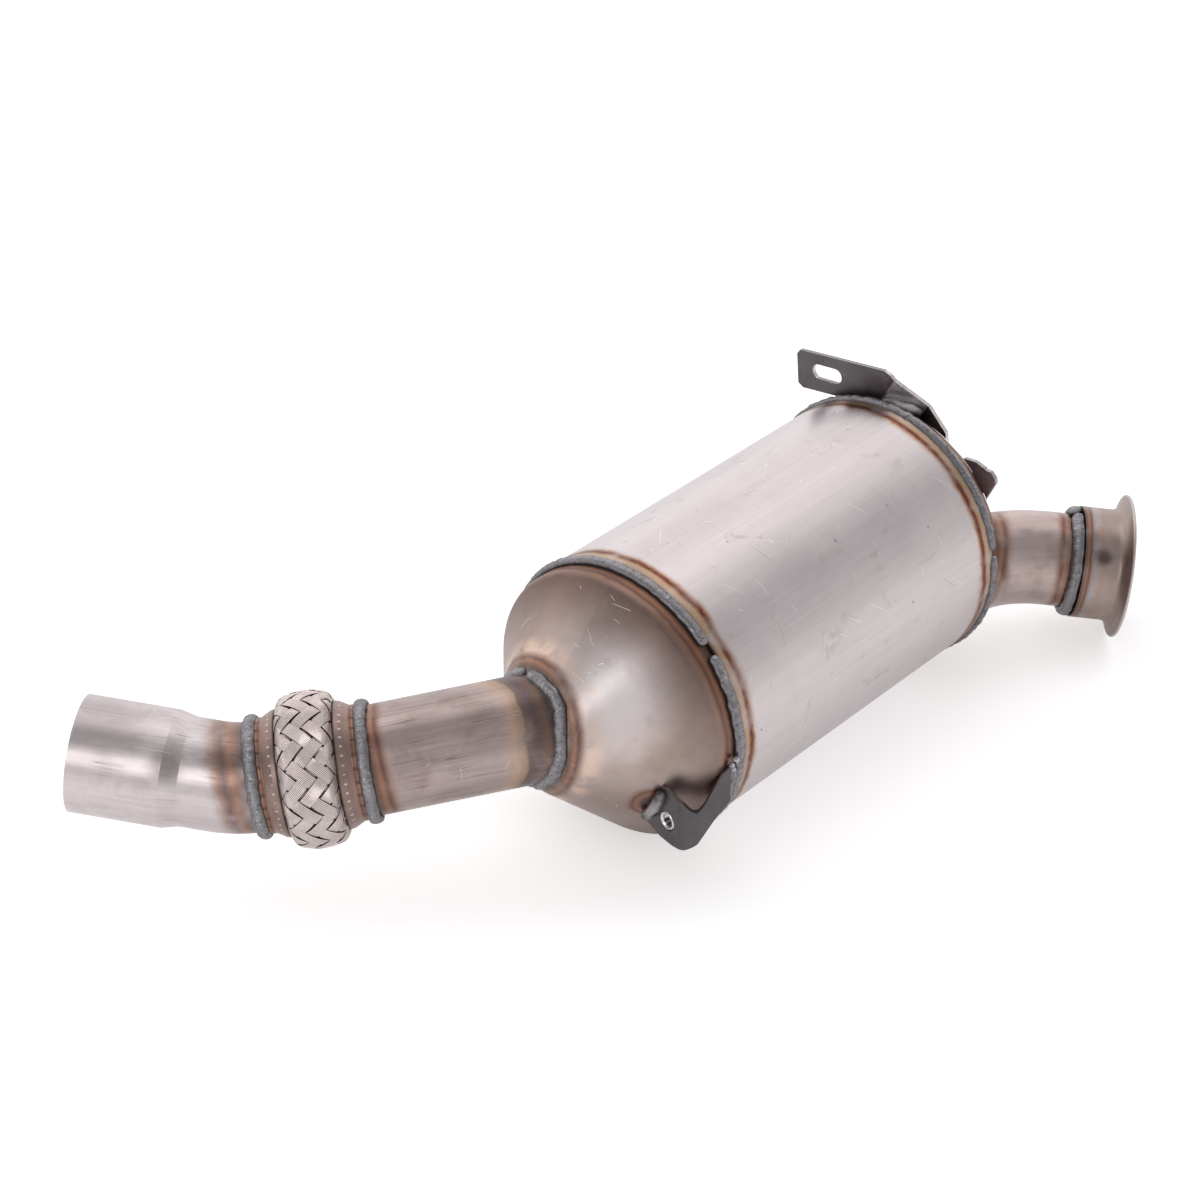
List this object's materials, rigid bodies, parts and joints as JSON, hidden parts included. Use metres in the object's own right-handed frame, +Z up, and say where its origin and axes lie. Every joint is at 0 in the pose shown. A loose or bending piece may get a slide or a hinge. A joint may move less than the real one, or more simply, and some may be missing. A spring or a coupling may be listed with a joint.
{
  "type": "diesel particulate filter",
  "caption": "Round steel filter can with conical ends, a bent inlet pipe with a clamp flange, brackets, and an outlet pipe with a braided flexible joint.",
  "frame": {"origin": "centre of the inlet flange's sealing face", "axes": "+X along the can's axis towards the inlet, +Y to the side of the outlet pipe, +Z up as in the picture"},
  "size_m": [0.5975, 0.3214, 0.1738],
  "materials": {
    "can_steel": "bright brushed stainless sheet with heat tint beside the seams",
    "cone_steel": "pressed stainless, tinted pinkish brown by the welding heat",
    "pipe_steel": "drawn stainless pipe with lengthwise lines and brown heat tint",
    "tail_steel": "bright drawn stainless pipe",
    "elbow_steel": "bent stainless pipe, tan to copper heat tint",
    "flange_steel": "formed stainless ring, brown heat tint, bright rim",
    "collar_steel": "formed stainless collar, reddish brown heat tint",
    "weld_bead": "blue-grey scaly weld metal",
    "braid_wire": "flat ribbons of fine stainless wire",
    "bellows_steel": "thin stainless sheet",
    "dark_steel": "hot rolled sheet, dark grey scale",
    "bracket_steel": "bent sheet, dark purplish grey scale",
    "zinc_plate": "bright zinc plating",
    "filter_ceramic": "dark grey porous ceramic",
    "fibre_mat": "pale ceramic fibre mat"
  },
  "bodies": {
    "root": {"can_shell": "can_steel", "filter_monolith": "filter_ceramic", "support_mat": "fibre_mat", "outlet_cone": "cone_steel", "inlet_cone": "cone_steel", "outlet_seam_weld": "weld_bead", "inlet_seam_weld": "weld_bead", "outlet_pipe": "pipe_steel", "outlet_pipe_weld": "weld_bead", "flex_rear_collar": "collar_steel", "flex_front_collar": "collar_steel", "flex_braid": "braid_wire", "flex_bellows": "bellows_steel", "flex_liner": "bellows_steel", "flex_rear_weld": "weld_bead", "flex_front_weld": "weld_bead", "tail_pipe": "tail_steel", "inlet_elbow": "elbow_steel", "inlet_pipe_weld": "weld_bead", "flange_weld": "weld_bead", "vband_flange": "flange_steel", "upper_bracket": "dark_steel", "upper_bracket_weld": "weld_bead", "lower_bracket": "bracket_steel", "lower_bracket_nut": "zinc_plate", "lower_bracket_left_weld": "weld_bead", "lower_bracket_right_weld": "weld_bead", "rear_ear_bracket": "dark_steel", "rear_ear_weld": "weld_bead"}
  },
  "joints": []
}
